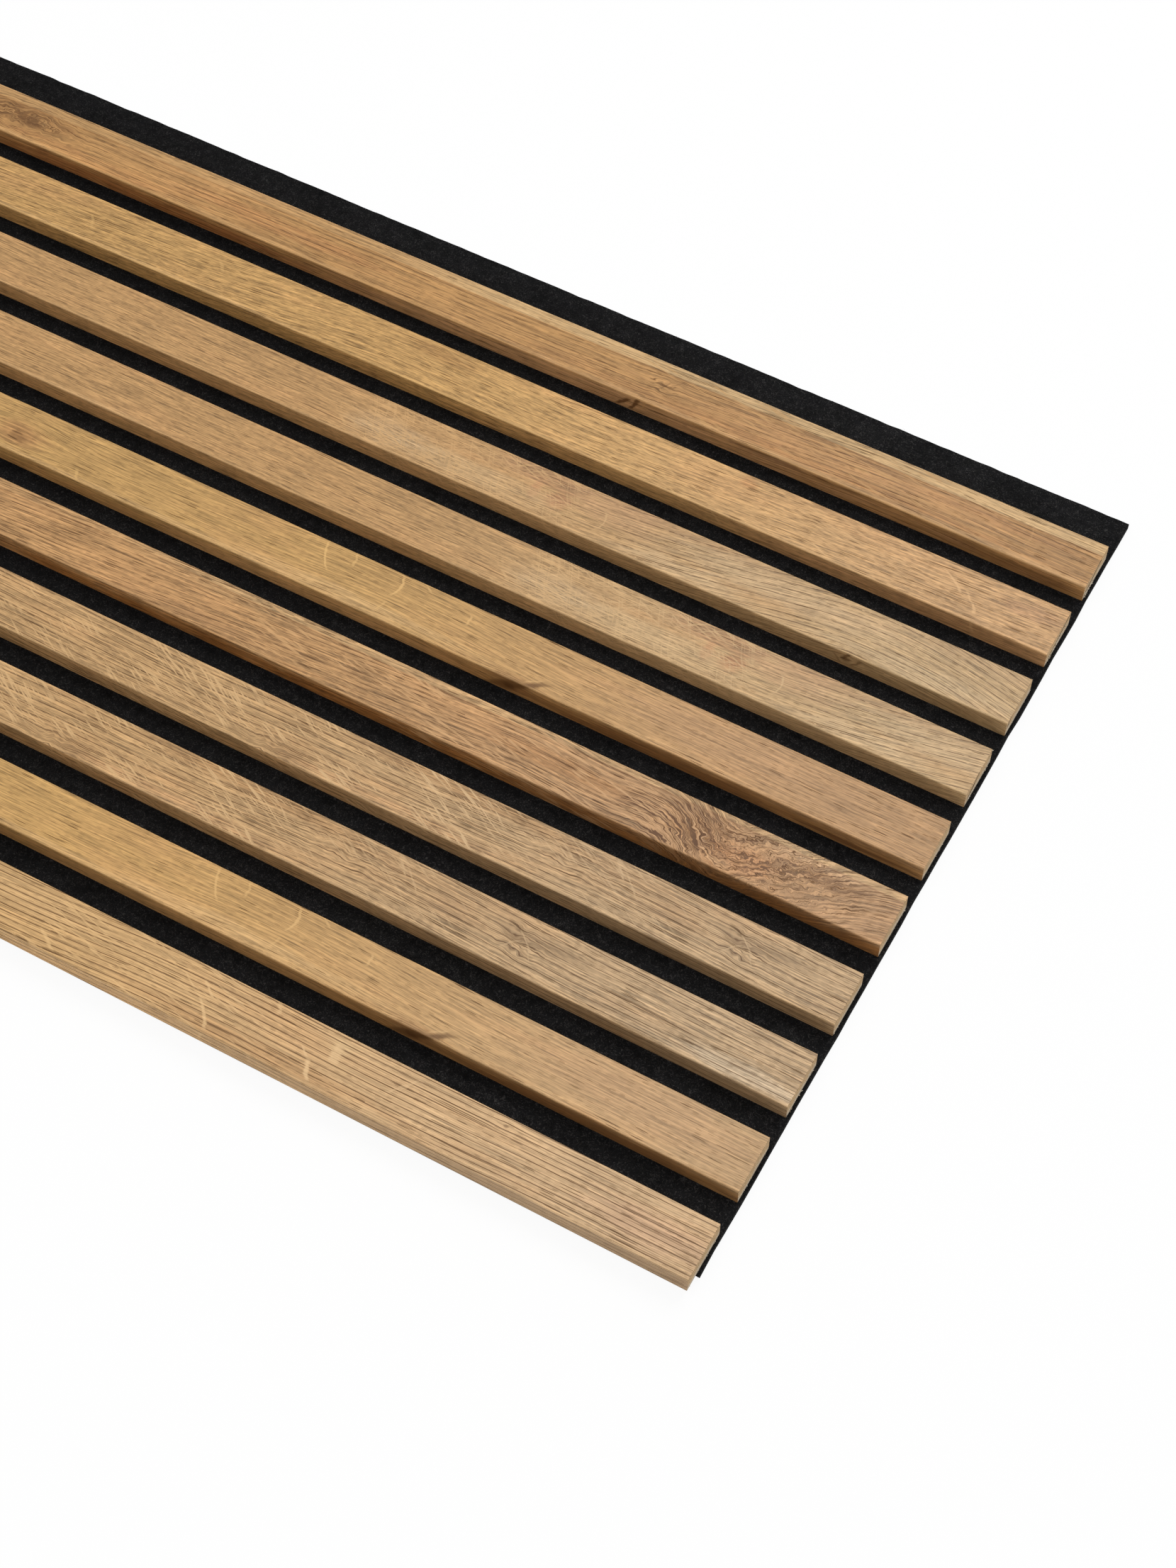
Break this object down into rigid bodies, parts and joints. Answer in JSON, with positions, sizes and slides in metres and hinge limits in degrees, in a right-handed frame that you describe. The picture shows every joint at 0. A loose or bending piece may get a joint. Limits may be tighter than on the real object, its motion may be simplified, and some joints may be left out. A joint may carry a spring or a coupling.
{
  "type": "slat wall panel",
  "caption": "Wall panel of parallel oak-look slats with rounded edges on a thin black felt backing; one side slat overhangs the felt to cover the joint to the next panel.",
  "frame": {"origin": "middle of the panel's outline, on the back face of the felt", "axes": "+X along the slats, towards the end with the saw tears; +Y across them, towards the bare felt margin; +Z out of the wall"},
  "size_m": [2.7, 0.4082, 0.012],
  "materials": {
    "felt": "black needle felt",
    "board": "raw pale fibreboard, saw cut at the ends",
    "oak_foil": "matt oak decor foil with embossed pores"
  },
  "bodies": {
    "root": {"felt_backing": "felt", "slat_core_01": "board", "slat_core_02": "board", "slat_core_03": "board", "slat_core_04": "board", "slat_core_05": "board", "slat_core_06": "board", "slat_core_07": "board", "slat_core_08": "board", "slat_core_09": "board", "slat_core_10": "board", "slat_foil_01": "oak_foil", "slat_foil_02": "oak_foil", "slat_foil_03": "oak_foil", "slat_foil_04": "oak_foil", "slat_foil_05": "oak_foil", "slat_foil_06": "oak_foil", "slat_foil_07": "oak_foil", "slat_foil_08": "oak_foil", "slat_foil_09": "oak_foil", "slat_foil_10": "oak_foil"}
  },
  "joints": []
}
